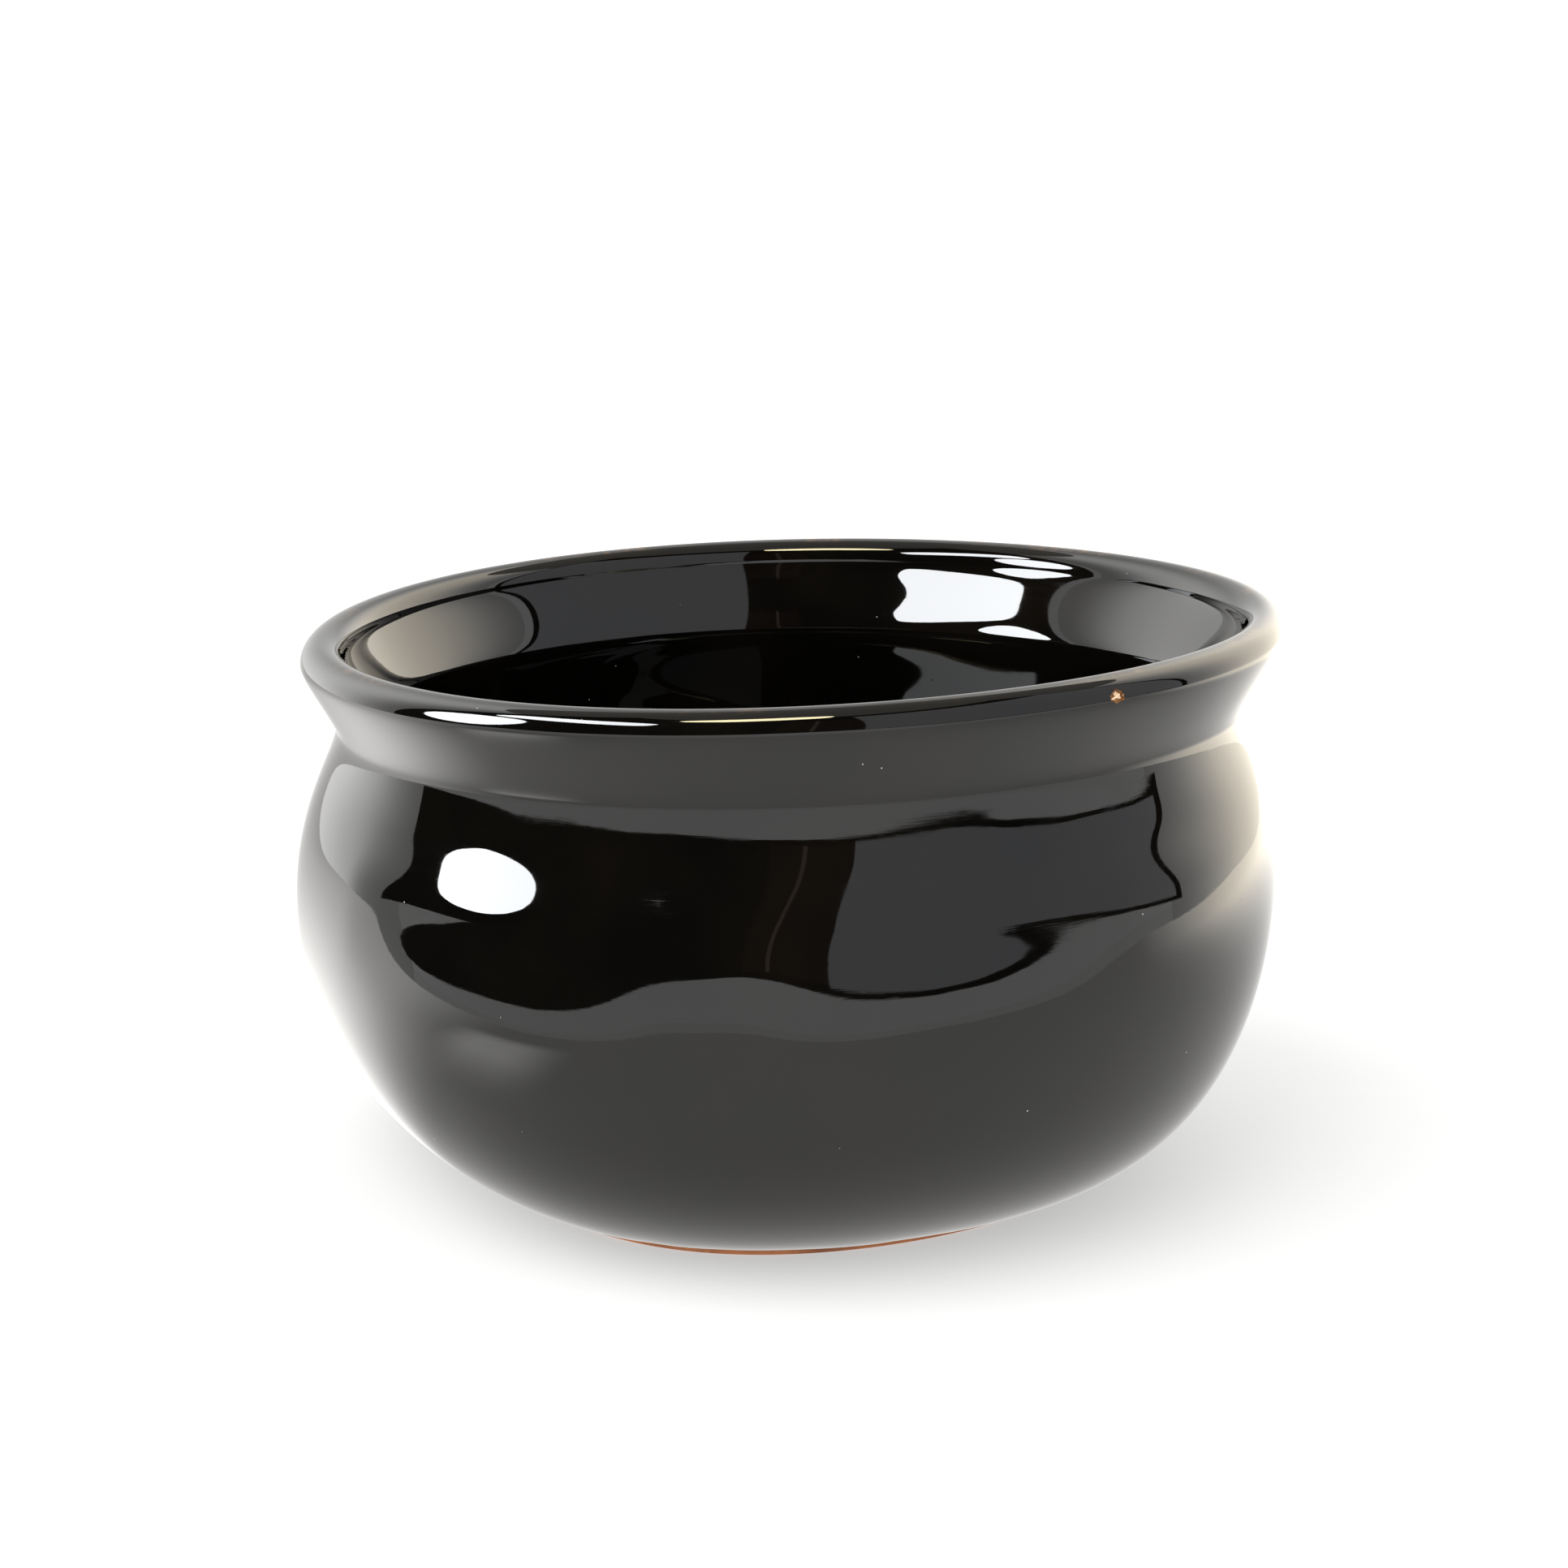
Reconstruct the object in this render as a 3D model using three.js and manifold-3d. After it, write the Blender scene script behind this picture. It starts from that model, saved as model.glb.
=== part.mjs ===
// A round bowl of red earthenware under two coats of black glaze: a flat bare foot, a full belly
// pressed into soft facets, a shallow neck and a thick rolled lip with one small chip.
// Millimetres, +Z up, the origin at the middle of the foot on the table, the chipped side towards -Y.
import * as THREE from "three";
import { mergeVertices } from "three/addons/utils/BufferGeometryUtils.js";
import Module from "manifold-3d";

const wasm = await Module();
wasm.setup();

const degrees = THREE.MathUtils.degToRad;

// ---- Driving dimensions ---------------------------------------------------------------------

// Stations of the glazed outside, each a radius and a height.
const FOOT_RADIUS = 49;
const GLAZE_LINE = 1.1;
const BELLY_RADIUS = 76.6;
const BELLY_HEIGHT = 40.5;
const NECK_RADIUS = 69.6;
const NECK_HEIGHT = 70;
const LIP_RADIUS = 75;
const LIP_HEIGHT = 80.6;
const CREST_HEIGHT = 84;

// How long the outline keeps its direction on each side of a station.
const FOOT_SLOPE = degrees(14.5);
const FOOT_SWEEP = 14;
const BELLY_SWEEP_DOWN = 24.5;
const BELLY_SWEEP_UP = 16;
const NECK_SWEEP_DOWN = 4.5;
const NECK_SWEEP_UP = 1.5;
const LIP_SWEEP = 1.5;

// Walls, inside floor and glaze.
const WALL = 5;
const LIP_THICKNESS = 6.5;
const FLOOR_THICKNESS = 7;
const FLOOR_RADIUS = 40;
const FLOOR_SWEEP = 20;
const COAT = 0.5;
const LAP_DEPTH = 9;

// Out of round: each push has a number of sides, a depth at the foot and a direction.
// It is full up to FULL_PRESS_HEIGHT and has faded away at the neck.
const PUSHES = [
  { sides: 2, depth: 2.5, turn: degrees(85) },
  { sides: 3, depth: 1.4, turn: degrees(50) },
  { sides: 4, depth: 1.9, turn: degrees(-24) },
];
const FULL_PRESS_HEIGHT = 12;

// The pot leans a little as it goes up, to the side and back, and its rim is higher on the +X side.
// The rim also waves up and down twice on its way round.
const LEAN_SIDE = 1.3;
const LEAN_BACK = 2;
const RIM_RISE = 3.2;
const RIM_WAVE = 0.4;
const RIM_WAVE_TURN = degrees(-53);

// The chip knocked out of the outer bulge of the lip.
const CHIP_RADIUS = 1.3;
const CHIP_TURN = degrees(-53.5);
const CHIP_BELOW_CREST = 2.4;
const CHIP_SHAPE = new THREE.Vector3(1, 0.8, 0.8);

// Fineness: steps round the pot and along each stretch of its outline.
const TURNS = 48;
const LOWER_STEPS = 7;
const UPPER_STEPS = 4;
const FLARE_STEPS = 3;
const CREST_STEPS = 6;
const FLOOR_STEPS = 2;

// ---- Outline --------------------------------------------------------------------------------

const SKIN = WALL + 2 * COAT;

const at = (radius, height) => new THREE.Vector2(radius, height);

// A stretch of outline between two stations, each with the direction and length of its sweep.
function stretch(from, leave, arrive, to) {
  return new THREE.CubicBezierCurve(from, from.clone().add(leave), to.clone().sub(arrive), to);
}

const foot = at(FOOT_RADIUS, GLAZE_LINE);
const belly = at(BELLY_RADIUS, BELLY_HEIGHT);
const neck = at(NECK_RADIUS, NECK_HEIGHT);
const lip = at(LIP_RADIUS, LIP_HEIGHT);
const insideLip = at(LIP_RADIUS - LIP_THICKNESS, LIP_HEIGHT);
const insideNeck = at(NECK_RADIUS - SKIN, NECK_HEIGHT);
const insideBelly = at(BELLY_RADIUS - SKIN, BELLY_HEIGHT);
const floorEdge = at(FLOOR_RADIUS, FLOOR_THICKNESS);
const leaveFoot = at(FOOT_SWEEP * Math.cos(FOOT_SLOPE), FOOT_SWEEP * Math.sin(FOOT_SLOPE));

const lowerWall = stretch(foot, leaveFoot, at(0, BELLY_SWEEP_DOWN), belly);
const upperWall = stretch(belly, at(0, BELLY_SWEEP_UP), at(0, NECK_SWEEP_DOWN), neck);
const flare = stretch(neck, at(0, NECK_SWEEP_UP), at(0, LIP_SWEEP), lip);
const crest = new THREE.EllipseCurve(
  LIP_RADIUS - LIP_THICKNESS / 2, LIP_HEIGHT,
  LIP_THICKNESS / 2, CREST_HEIGHT - LIP_HEIGHT,
  0, Math.PI,
);
const throat = stretch(insideLip, at(0, -LIP_SWEEP), at(0, -NECK_SWEEP_UP), insideNeck);
const shoulder = stretch(insideNeck, at(0, -NECK_SWEEP_DOWN), at(0, -BELLY_SWEEP_UP), insideBelly);
const basin = stretch(insideBelly, at(0, -BELLY_SWEEP_DOWN), at(-FLOOR_SWEEP, 0), floorEdge);
const floor = new THREE.LineCurve(floorEdge, at(0, FLOOR_THICKNESS));

// Steps from one end of a stretch to the other, as shares of its length, without its first point.
function shares(steps) {
  return Array.from({ length: steps }, (_, i) => (i + 1) / steps);
}

// The point at a share of a stretch, moved a depth to the left of its way, which is into the clay.
function beside(curve, share, depth) {
  const tangent = curve.getTangent(share);
  return curve.getPoint(share).add(at(-tangent.y, tangent.x).multiplyScalar(depth));
}

// Up the outside from the foot and over the lip, a depth below the glazed skin.
function outside(depth) {
  return [
    beside(lowerWall, 0, depth),
    ...shares(LOWER_STEPS).map((t) => beside(lowerWall, t, depth)),
    ...shares(UPPER_STEPS).map((t) => beside(upperWall, t, depth)),
    ...shares(FLARE_STEPS).map((t) => beside(flare, t, depth)),
    ...shares(CREST_STEPS).map((t) => beside(crest, t, depth)),
  ];
}

// Down the inside from the lip to the axis, a depth below the glazed skin.
function inside(depth) {
  return [
    ...shares(FLARE_STEPS).map((t) => beside(throat, t, depth)),
    ...shares(UPPER_STEPS).map((t) => beside(shoulder, t, depth)),
    ...shares(LOWER_STEPS).map((t) => beside(basin, t, depth)),
    ...shares(FLOOR_STEPS).map((t) => beside(floor, t, depth)),
  ];
}

// ---- Turning and pressing -------------------------------------------------------------------

// How far the soft clay is out of round at a height and an angle round the pot.
function push(height, angle) {
  const t = THREE.MathUtils.smoothstep(NECK_HEIGHT - height, 0, NECK_HEIGHT - FULL_PRESS_HEIGHT);
  return t * PUSHES.reduce((sum, p) => sum + p.depth * Math.cos(p.sides * (angle - p.turn)), 0);
}

// Moves a turned point to where it is on the pressed and slightly leaning pot.
function press(point) {
  const radius = Math.hypot(point.x, point.y);
  const angle = Math.atan2(point.y, point.x);
  const nearAxis = Math.sin((Math.PI / 2) * Math.min(radius / FOOT_RADIUS, 1));
  const pressed = radius + nearAxis * push(point.z, angle);
  const share = point.z / CREST_HEIGHT;
  const rise = RIM_RISE * Math.cos(angle) + RIM_WAVE * Math.cos(2 * (angle - RIM_WAVE_TURN));
  point.set(
    pressed * Math.cos(angle) + LEAN_SIDE * share,
    pressed * Math.sin(angle) + LEAN_BACK * share,
    point.z + (rise * share * radius) / LIP_RADIUS,
  );
  return point;
}

// A closed surface with its shared vertices merged, as a solid that can be cut.
function solid(geometry) {
  geometry.deleteAttribute("normal");
  geometry.deleteAttribute("uv");
  const merged = mergeVertices(geometry);
  return new wasm.Manifold(
    new wasm.Mesh({
      numProp: 3,
      vertProperties: merged.attributes.position.array,
      triVerts: new Uint32Array(merged.index.array),
    }),
  );
}

// Turns a profile round the axis and presses it out of round.
function thrown(profile) {
  const geometry = new THREE.LatheGeometry(profile, TURNS);
  geometry.rotateX(Math.PI / 2);
  const position = geometry.attributes.position;
  const point = new THREE.Vector3();
  for (let i = 0; i < position.count; i++) {
    point.fromBufferAttribute(position, i);
    press(point);
    position.setXYZ(i, point.x, point.y, point.z);
  }
  return solid(geometry);
}

// ---- Solids ---------------------------------------------------------------------------------

// The bare clay: the outline one coat in, standing on the flat foot.
function clay() {
  const footEdge = FOOT_RADIUS - COAT;
  return thrown([at(0, 0), at(footEdge, 0), at(footEdge, GLAZE_LINE), ...outside(COAT), ...inside(COAT)]);
}

// The whole pot as glazed, down to the line where the glaze was wiped off the foot.
function glazedPot() {
  return thrown([at(0, GLAZE_LINE), ...outside(0), ...inside(0)]);
}

// The hollow and the inside coat round it, cut level where the outside coat laps over.
// Its side runs through the clay, one coat's thickness behind the inside coat.
function belowLap() {
  const lap = CREST_HEIGHT - LAP_DEPTH;
  const side = inside(2 * COAT);
  const first = side.findIndex((point) => point.y < lap);
  const above = side[first - 1];
  const below = side.slice(first).reverse();
  const highest = below.at(-1);
  const edge = highest.clone().lerp(above, (lap - highest.y) / (above.y - highest.y));
  return thrown([...below, edge, at(0, lap)]);
}

// The flake that left the chip: a rough, flat-sided pebble half sunk in the bulge of the lip.
function flake() {
  const pebble = new THREE.IcosahedronGeometry(CHIP_RADIUS);
  pebble.scale(CHIP_SHAPE.x, CHIP_SHAPE.y, CHIP_SHAPE.z);
  pebble.rotateZ(CHIP_TURN + Math.PI / 2);
  const middle = new THREE.Vector3(
    LIP_RADIUS * Math.cos(CHIP_TURN),
    LIP_RADIUS * Math.sin(CHIP_TURN),
    CREST_HEIGHT - CHIP_BELOW_CREST,
  );
  press(middle);
  pebble.translate(middle.x, middle.y, middle.z);
  return solid(pebble);
}

// ---- The assembly ---------------------------------------------------------------------------

function mesh(name, body, colour, roughness) {
  const made = body.getMesh();
  const geometry = new THREE.BufferGeometry();
  geometry.setAttribute("position", new THREE.BufferAttribute(made.vertProperties, 3));
  geometry.setIndex(new THREE.BufferAttribute(made.triVerts, 1));
  geometry.computeVertexNormals();
  const material = new THREE.MeshStandardMaterial({ color: colour, roughness, metalness: 0 });
  const node = new THREE.Mesh(geometry, material);
  node.name = name;
  return node;
}

const pot = new THREE.Group();
const body = clay();
const coats = glazedPot().subtract(body);
const chip = flake();
const lap = belowLap();

pot.add(mesh("clay_body", body.subtract(chip), 0xb5673a, 0.85));
pot.add(mesh("glaze_inside", coats.intersect(lap), 0x0b0a0a, 0.06));
pot.add(mesh("glaze_outside", coats.subtract(lap).subtract(chip), 0x0b0a0a, 0.06));

export default pot;
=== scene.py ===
# %% [markdown]
# # A black-glazed bowl of red earthenware
#
# The bowl is thrown on a wheel, pressed a little out of round while it is soft, fired, and dipped
# twice in black glaze: once for the inside, once for the outside. Its flat foot is wiped clean, so a
# thin line of bare clay shows there, and one small chip on the lip shows the clay again.
#
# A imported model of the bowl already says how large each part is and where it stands. It is loaded
# first and never changed. The fine surfaces made below stand in for its plain ones.

# %% Load the plain model and keep its box
import math

import bpy
from mathutils import Matrix, Vector


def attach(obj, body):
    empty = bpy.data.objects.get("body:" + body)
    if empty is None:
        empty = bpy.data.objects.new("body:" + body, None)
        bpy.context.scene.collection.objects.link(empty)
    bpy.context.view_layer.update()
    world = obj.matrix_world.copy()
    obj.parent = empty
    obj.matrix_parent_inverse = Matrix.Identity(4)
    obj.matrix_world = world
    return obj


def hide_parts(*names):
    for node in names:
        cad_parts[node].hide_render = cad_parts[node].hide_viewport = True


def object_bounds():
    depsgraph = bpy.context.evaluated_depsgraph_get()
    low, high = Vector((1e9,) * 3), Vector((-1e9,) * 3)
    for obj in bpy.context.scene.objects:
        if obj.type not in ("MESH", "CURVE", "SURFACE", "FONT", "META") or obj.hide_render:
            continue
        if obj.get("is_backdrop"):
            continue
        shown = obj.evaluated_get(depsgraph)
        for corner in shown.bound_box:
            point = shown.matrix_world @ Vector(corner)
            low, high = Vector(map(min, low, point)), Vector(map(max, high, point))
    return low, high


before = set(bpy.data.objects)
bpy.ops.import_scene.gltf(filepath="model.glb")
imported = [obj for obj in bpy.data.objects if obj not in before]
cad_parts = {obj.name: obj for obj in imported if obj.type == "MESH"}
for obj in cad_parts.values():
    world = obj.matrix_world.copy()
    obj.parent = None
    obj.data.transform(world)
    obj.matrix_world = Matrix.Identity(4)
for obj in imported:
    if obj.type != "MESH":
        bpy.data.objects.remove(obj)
plain_box = [list(corner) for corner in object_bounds()]
print("plain parts:", sorted(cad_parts))
print("plain box, mm:", [[round(1000 * number, 2) for number in corner] for corner in plain_box])

# %% [markdown]
# ## The potter's measurements
#
# A thrown pot is one outline turned round an axis, so a handful of stations fixes it: foot, belly,
# neck, lip and crest, each a radius and a height. Between two stations the wall keeps the direction
# it had for a while, which is what the sweeps say. All sizes are in metres.

# %% Stations and sweeps of the outline
MM = 0.001

FOOT_RADIUS = 49 * MM
GLAZE_LINE = 1.1 * MM
BELLY_RADIUS = 76.6 * MM
BELLY_HEIGHT = 40.5 * MM
NECK_RADIUS = 69.6 * MM
NECK_HEIGHT = 70 * MM
LIP_RADIUS = 75 * MM
LIP_HEIGHT = 80.6 * MM
CREST_HEIGHT = 84 * MM

FOOT_SLOPE = math.radians(14.5)
FOOT_SWEEP = 14 * MM
BELLY_SWEEP_DOWN = 24.5 * MM
BELLY_SWEEP_UP = 16 * MM
NECK_SWEEP_DOWN = 4.5 * MM
NECK_SWEEP_UP = 1.5 * MM
LIP_SWEEP = 1.5 * MM

# %% Walls, floor and glaze
WALL = 5 * MM
LIP_THICKNESS = 6.5 * MM
FLOOR_THICKNESS = 7 * MM
FLOOR_RADIUS = 40 * MM
FLOOR_SWEEP = 20 * MM
COAT = 0.5 * MM
LAP_DEPTH = 9 * MM
SKIN = WALL + 2 * COAT

# %% How the soft clay was pushed out of round
TWO_SIDED_PUSH = 2.5 * MM
TWO_SIDED_TURN = math.radians(85)
THREE_SIDED_PUSH = 1.4 * MM
THREE_SIDED_TURN = math.radians(50)
FOUR_SIDED_PUSH = 1.9 * MM
FOUR_SIDED_TURN = math.radians(-24)
FULL_PRESS_HEIGHT = 12 * MM

LEAN_SIDE = 1.3 * MM
LEAN_BACK = 2 * MM
RIM_RISE = 3.2 * MM
RIM_WAVE = 0.4 * MM
RIM_WAVE_TURN = math.radians(-53)

# %% The chip in the lip
CHIP_RADIUS = 1.3 * MM
CHIP_TURN = math.radians(-53.5)
CHIP_BELOW_CREST = 2.4 * MM
CHIP_SHAPE = Vector((1, 0.8, 0.8))

# %% [markdown]
# ## Writing formulas with nodes
#
# The shape law of the bowl and the patterns of its glaze are sums, so they need many Math nodes.
# Wired one by one they are hard to read. A small class lets a formula be written as a formula: each
# operation adds one node to the tree and hands back its output.

# %% A number that changes from place to place
class Field:
    """The output of a node, which can be added to, multiplied and bent like a number."""

    def __init__(self, socket):
        self.socket = socket
        self.tree = socket.id_data

    def math(self, operation, *others):
        node = self.tree.nodes.new("ShaderNodeMath")
        node.operation = operation
        for slot, value in zip(node.inputs, (self, *others)):
            feed(slot, value)
        return Field(node.outputs[0])

    def __add__(self, other):
        return self.math("ADD", other)

    def __radd__(self, other):
        return self.math("ADD", other)

    def __sub__(self, other):
        return self.math("SUBTRACT", other)

    def __rsub__(self, other):
        return (self * -1) + other

    def __mul__(self, other):
        return self.math("MULTIPLY", other)

    def __truediv__(self, other):
        return self.math("DIVIDE", other)

    def cos(self):
        return self.math("COSINE")

    def sin(self):
        return self.math("SINE")

    def between(self, low, high):
        """0 below low, 1 above high and a smooth step from one to the other."""
        node = self.tree.nodes.new("ShaderNodeMapRange")
        node.interpolation_type = "SMOOTHSTEP"
        for name, value in (("Value", self), ("From Min", low), ("From Max", high)):
            feed(node.inputs[name], value)
        return Field(node.outputs["Result"])


def feed(slot, value):
    """Joins a node's output to a slot, or sets the slot to a plain value."""
    if isinstance(value, Field):
        value = value.socket
    if isinstance(value, bpy.types.NodeSocket):
        slot.id_data.links.new(value, slot)
    else:
        slot.default_value = value


def add(tree, kind, inputs=None, **settings):
    """A new node with its settings made and its named inputs fed."""
    node = tree.nodes.new(kind)
    for name, value in settings.items():
        setattr(node, name, value)
    for name, value in (inputs or {}).items():
        feed(node.inputs[name], value)
    return node


print("formulas are ready")

# %% [markdown]
# ## The black glaze
#
# The glaze is a glass, nearly black all through, so what is seen on it is mostly what it mirrors. Its
# life is in small faults: it lies in very soft dimples, wiping has left fine scratches round the pot
# that tear the edges of a bright reflection, and where it ran thin on the crest of the lip the
# red clay shows through as golden brown. The patterns use the place each point had on the wheel,
# which the pot carries as an attribute, so they follow the wall round and are never cut by a seam.

# %% Helpers for a finish
def finish(name, **sockets):
    """A new material and its main shader, with plain values set on the shader's own sockets."""
    material = bpy.data.materials.new(name)
    material.use_nodes = True
    tree = material.node_tree
    shader = next(node for node in tree.nodes if node.type == "BSDF_PRINCIPLED")
    for socket, value in sockets.items():
        shader.inputs[socket.replace("_", " ").title().replace("Ior", "IOR")].default_value = value
    return material, tree, shader


def grain(tree, place, size, detail=2.0, rough=0.5):
    """Cloudy noise between 0 and 1, with clouds of about the given size in metres."""
    node = add(tree, "ShaderNodeTexNoise", {"Vector": place, "Scale": 1 / size, "Detail": detail})
    node.inputs["Roughness"].default_value = rough
    return Field(node.outputs[0])


def blend(tree, share, one, other):
    """A colour that goes from one to the other as the share goes from 0 to 1."""
    node = add(tree, "ShaderNodeMix", data_type="RGBA")
    feed(node.inputs["Factor"], share)
    feed(node.inputs[6], one)
    feed(node.inputs[7], other)
    return node.outputs[2]


def relief(tree, shader, height, depth, under=None):
    """Raises the surface by a height pattern of the given depth, on top of another relief."""
    node = add(tree, "ShaderNodeBump", {"Height": height, "Distance": depth, "Strength": 1.0})
    if under is not None:
        feed(node.inputs["Normal"], under)
    feed(shader.inputs["Normal"], node.outputs["Normal"])
    return node.outputs["Normal"]


def squeezed(tree, place, x, y, z):
    """The same place with each direction stretched by its own factor, which squeezes a pattern."""
    return add(tree, "ShaderNodeMapping", {"Vector": place, "Scale": (x, y, z)}).outputs["Vector"]


# %% Colours and depths of the glaze
GLAZE_BLACK = (0.0014, 0.0013, 0.0011, 1)
GLAZE_WARM_BLACK = (0.0030, 0.0024, 0.0017, 1)
THIN_GLAZE = (0.20, 0.085, 0.018, 1)
GLAZE_IOR = 1.55

CLOUD_SIZE = 22 * MM
WIPED_SIZE = 16 * MM
HAZE_SIZE = 9 * MM
THIN_SPOT_SIZE = 1.6 * MM
DIMPLE_SIZE = 4 * MM
DIMPLE_DEPTH = 0.004 * MM
SCRATCH_GAP = 0.16 * MM
SCRATCH_DEPTH = 0.0009 * MM
PINHOLE_GAP = 9 * MM
PINHOLE_RADIUS = 0.16 * MM
PINHOLE_DEPTH = 0.03 * MM
THIN_BAND = 0.5 * MM
SMOOTHEST = 0.022

ON_THE_WHEEL = "on_the_wheel"
ON_THE_SKIN = "skin"


# %% The glaze
def black_glaze(name, scratched):
    """Glossy black glaze; scratched says how much wiping has marked it, from 0 to 1."""
    material, tree, shader = finish(name, ior=GLAZE_IOR)
    wheel = add(tree, "ShaderNodeAttribute", attribute_name=ON_THE_WHEEL).outputs["Vector"]
    height = Field(add(tree, "ShaderNodeSeparateXYZ", {"Vector": wheel}).outputs["Z"])

    clouds = grain(tree, wheel, CLOUD_SIZE, 3)
    broken = grain(tree, wheel, THIN_SPOT_SIZE, 3)
    crest = height.between(CREST_HEIGHT - THIN_BAND, CREST_HEIGHT)
    thin = crest * broken.between(0.40, 0.75) * clouds.between(0.48, 0.66)
    body = blend(tree, clouds.between(0.35, 0.7), GLAZE_BLACK, GLAZE_WARM_BLACK)
    feed(shader.inputs["Base Color"], blend(tree, thin * 0.5, body, THIN_GLAZE))

    wiped = grain(tree, wheel, WIPED_SIZE, 2).between(0.42, 0.62) * scratched
    streaks = grain(tree, squeezed(tree, wheel, 0.03, 0.03, 1), SCRATCH_GAP, 3, 0.6)
    haze = grain(tree, wheel, HAZE_SIZE, 4, 0.6).between(0.45, 0.75)
    marks = wiped * streaks.between(0.5, 0.8)
    feed(shader.inputs["Roughness"], SMOOTHEST + haze * 0.02 + marks * 0.07)

    pits = add(tree, "ShaderNodeTexVoronoi", {"Vector": wheel, "Scale": 1 / PINHOLE_GAP})
    pit = Field(pits.outputs["Distance"]).between(PINHOLE_RADIUS / PINHOLE_GAP, 0)
    soft = relief(tree, shader, grain(tree, wheel, DIMPLE_SIZE, 1.5), DIMPLE_DEPTH)
    lined = relief(tree, shader, wiped * streaks, SCRATCH_DEPTH, soft)
    relief(tree, shader, pit * -1, PINHOLE_DEPTH, lined)
    return material


outer_glaze = black_glaze("glossy_black_outside", 1.0)
inner_glaze = black_glaze("glossy_black_inside", 0.45)
print("glazes:", outer_glaze.name, inner_glaze.name)

# %% [markdown]
# ## The clay
#
# Red earthenware is dull and gritty. Bare at the foot it is a warm orange brown, darker where hands
# and shelves have rubbed it, and dusted with paler grains. Freshly broken in the chip it is a pale
# tan, rougher still. Both are a soft colour noise over a bump of real grain size. The broken edge of
# the glaze in the chip is thin glass, so it gets an amber colour of its own.

# %% Bare clay, broken clay and the broken glaze edge
BARE_CLAY = (0.47, 0.175, 0.068, 1)
RUBBED_CLAY = (0.25, 0.088, 0.036, 1)
DUSTY_CLAY = (0.62, 0.33, 0.17, 1)
BROKEN_CLAY = (0.84, 0.66, 0.45, 1)
BROKEN_CLAY_RED = (0.80, 0.54, 0.33, 1)
GLAZE_AMBER = (0.16, 0.06, 0.014, 1)

RUBBED_SIZE = 13 * MM
GRIT_SIZE = 0.45 * MM
GRIT_DEPTH = 0.05 * MM


def earthenware(name, main, dark, pale, coords):
    """Dull gritty clay: a main colour, darker where rubbed, with paler grains."""
    material, tree, shader = finish(name, ior=1.45)
    place = add(tree, "ShaderNodeTexCoord").outputs["Object"]
    if coords:
        place = add(tree, "ShaderNodeAttribute", attribute_name=coords).outputs["Vector"]
    rubbed = grain(tree, place, RUBBED_SIZE, 4, 0.6).between(0.42, 0.72)
    grit = grain(tree, place, GRIT_SIZE, 3, 0.7)
    colour = blend(tree, rubbed, main, dark)
    feed(shader.inputs["Base Color"], blend(tree, grit.between(0.58, 0.75) * 0.7, colour, pale))
    feed(shader.inputs["Roughness"], 0.93 - rubbed * 0.18)
    relief(tree, shader, grit, GRIT_DEPTH)
    return material


bare_clay = earthenware("red_clay_bare", BARE_CLAY, RUBBED_CLAY, DUSTY_CLAY, ON_THE_WHEEL)
broken_clay = earthenware("red_clay_broken", BROKEN_CLAY, BROKEN_CLAY_RED, DUSTY_CLAY, None)
broken_glaze, _, broken_glaze_shader = finish("broken_glaze", ior=1.5, roughness=0.25)
broken_glaze_shader.inputs["Base Color"].default_value = GLAZE_AMBER
print("clays:", bare_clay.name, broken_clay.name, broken_glaze.name)

# %% [markdown]
# ## The outline of the pot
#
# The wall is drawn in halves as the potter shapes it: up the outside from the foot and over the lip,
# then down the inside to the middle of the floor. Each stretch between two stations is a curve that
# leaves and arrives along its sweeps. A second line beside it, one coat deeper, is where the clay
# ends and the glaze begins, so that the three parts fit each other exactly.

# %% Stretches between stations
def stretch(start, leave, arrive, end):
    """A curve between two stations, as a function of the share of the way along it."""
    start, end = Vector(start), Vector(end)
    pull, push = start + Vector(leave), end - Vector(arrive)

    def curve(share):
        rest = 1 - share
        near = rest ** 3 * start + 3 * rest ** 2 * share * pull
        return near + 3 * rest * share ** 2 * push + share ** 3 * end

    return curve


def beside(curve, share, depth):
    """The point at a share of a curve, moved a depth into the clay, which is on its left."""
    tiny = 1e-4
    way = (curve(min(share + tiny, 1)) - curve(max(share - tiny, 0))).normalized()
    return curve(share) + depth * Vector((-way.y, way.x))


def crest(share):
    """The rolled crest of the lip, from its outer bulge over to the inside."""
    half = LIP_THICKNESS / 2
    turn = math.pi * share
    rise = (CREST_HEIGHT - LIP_HEIGHT) * math.sin(turn)
    return Vector((LIP_RADIUS - half + half * math.cos(turn), LIP_HEIGHT + rise))


foot = (FOOT_RADIUS, GLAZE_LINE)
belly = (BELLY_RADIUS, BELLY_HEIGHT)
neck = (NECK_RADIUS, NECK_HEIGHT)
lip = (LIP_RADIUS, LIP_HEIGHT)
inside_lip = (LIP_RADIUS - LIP_THICKNESS, LIP_HEIGHT)
inside_neck = (NECK_RADIUS - SKIN, NECK_HEIGHT)
inside_belly = (BELLY_RADIUS - SKIN, BELLY_HEIGHT)
floor_edge = (FLOOR_RADIUS, FLOOR_THICKNESS)
leave_foot = (FOOT_SWEEP * math.cos(FOOT_SLOPE), FOOT_SWEEP * math.sin(FOOT_SLOPE))

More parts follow.
